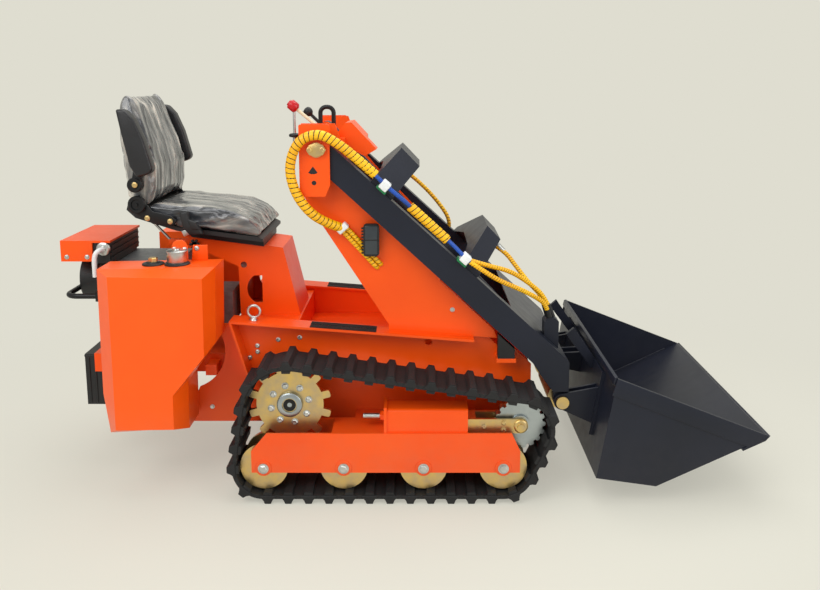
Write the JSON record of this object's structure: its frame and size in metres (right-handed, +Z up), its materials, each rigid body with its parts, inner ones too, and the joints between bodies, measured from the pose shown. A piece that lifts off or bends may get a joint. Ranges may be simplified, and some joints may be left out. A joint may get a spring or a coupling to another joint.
{
  "type": "tracked mini loader",
  "caption": "Ride-on mini loader on rubber tracks, with a low front bucket on lifting arms, tower frame, seat, side tanks and a rear engine.",
  "frame": {"origin": "on the ground under the middle of the whole box", "axes": "+X forward, +Y to the left, +Z up"},
  "size_m": [2.53, 1.06, 1.407],
  "materials": {
    "track_rubber": "moulded black rubber",
    "zinc_steel": "yellow zinc plate",
    "idler_steel": "bare steel",
    "black_paint": "satin black paint",
    "chassis_paint": "orange gloss paint",
    "tank_paint": "orange gloss paint",
    "boom_paint": "blue-black gloss paint",
    "black_plastic": "matt black",
    "seat_vinyl": "black vinyl under clear film",
    "hose_rubber": "black rubber",
    "engine_metal": "cast grey",
    "rod_chrome": "hard chrome"
  },
  "bodies": {
    "machine": {"track_right": "track_rubber", "track_left": "track_rubber", "drive_sprockets": "zinc_steel", "drive_motors": "black_paint", "front_idlers": "idler_steel", "idler_forks": "zinc_steel", "roller_beams": "chassis_paint", "track_tensioners": "chassis_paint", "track_rollers": "zinc_steel", "chassis_rail_right": "chassis_paint", "chassis_rail_left": "chassis_paint", "chassis_floor": "chassis_paint", "chassis_front_plate": "chassis_paint", "seat_deck": "chassis_paint", "linkage_pins": "zinc_steel", "lifting_eyes": "black_paint", "rear_side_plates": "chassis_paint", "engine_carrier": "chassis_paint", "tower_right": "chassis_paint", "tower_left": "chassis_paint", "leg_panel": "chassis_paint", "head_beam": "chassis_paint", "work_lamps": "black_plastic", "boom_rests": "hose_rubber", "control_console": "chassis_paint", "control_levers": "black_plastic", "grab_handle": "black_paint", "seat_pedestal": "chassis_paint", "seat_base": "black_paint", "seat_cushion": "seat_vinyl", "seat_back": "seat_vinyl", "seat_shell": "black_plastic", "tank_right": "tank_paint", "tank_left": "tank_paint", "tank_fittings": "black_plastic", "engine_block": "engine_metal", "fan_housing": "black_plastic", "engine_cover": "chassis_paint", "air_cleaner": "black_plastic", "engine_guard": "black_paint", "battery_box": "black_plastic", "hydraulic_pump": "engine_metal", "pivot_hose": "hose_rubber"},
    "boom": {"boom_arm_right": "boom_paint", "boom_arm_left": "boom_paint", "boom_arches": "boom_paint", "boom_front_plate": "boom_paint", "coupler_bracket": "boom_paint", "boom_hoses": "hose_rubber"},
    "lift_barrels": {"lift_barrels": "boom_paint"},
    "lift_rods": {"lift_rods": "rod_chrome"},
    "tilt_barrel": {"tilt_barrel": "boom_paint"},
    "tilt_rod": {"tilt_rod": "rod_chrome"},
    "bucket_link": {"bucket_cross_tube": "zinc_steel"},
    "bucket": {"attach_plate": "boom_paint", "bucket": "boom_paint"},
    "armrest_right": {"armrest_right": "seat_vinyl"},
    "armrest_left": {"armrest_left": "seat_vinyl"}
  },
  "joints": [
    {"name": "boom_lift", "type": "hinge", "parent": "machine", "child": "boom", "pos_m": [-0.29, 0, 1.222], "axis": [0, -1, 0], "range_deg": [0, 65], "deforming": ["pivot_hose"]},
    {"name": "bucket_level", "type": "hinge", "parent": "boom", "child": "bucket_link", "pos_m": [0.58, 0, 0.309], "axis": [0, 1, 0], "range_deg": [-0.13, 65.13]},
    {"name": "bucket_tilt", "type": "hinge", "parent": "bucket_link", "child": "bucket", "pos_m": [0.58, 0, 0.309], "axis": [0, 1, 0], "range_deg": [0, 46]},
    {"name": "lift_swing", "type": "hinge", "parent": "machine", "child": "lift_barrels", "pos_m": [0.04, 0, 0.43], "axis": [0, -1, 0], "range_deg": [-2.67, 0.01]},
    {"name": "lift_stroke", "type": "slide", "parent": "lift_barrels", "child": "lift_rods", "axis": [-0.1619, 0, 0.9868], "range_m": [-0.00056, 0.28096]},
    {"name": "tilt_swing", "type": "hinge", "parent": "machine", "child": "tilt_barrel", "pos_m": [-0.29, 0, 1.277], "axis": [0, -1, 0], "range_deg": [-0.13, 64.48]},
    {"name": "tilt_stroke", "type": "slide", "parent": "tilt_barrel", "child": "tilt_rod", "axis": [0.6899, 0, -0.7239], "range_m": [-0.00007, 0.03607]},
    {"name": "armrest_right_fold", "type": "hinge", "parent": "machine", "child": "armrest_right", "pos_m": [-0.954, -0.25, 1.087], "axis": [0, 1, 0], "range_deg": [0, 95]},
    {"name": "armrest_left_fold", "type": "hinge", "parent": "machine", "child": "armrest_left", "pos_m": [-0.954, 0.25, 1.087], "axis": [0, 1, 0], "range_deg": [0, 95]}
  ],
  "couplings": [
    {"joint": "bucket_level", "follows": "boom_lift", "ratio": 1},
    {"joint": "lift_swing", "follows": "boom_lift", "ratio": -0.040983},
    {"joint": "lift_stroke", "follows": "boom_lift", "m_per_rad": 0.24716},
    {"joint": "tilt_swing", "follows": "boom_lift", "ratio": 0.99},
    {"joint": "tilt_stroke", "follows": "bucket_tilt", "m_per_rad": 0.04484}
  ]
}
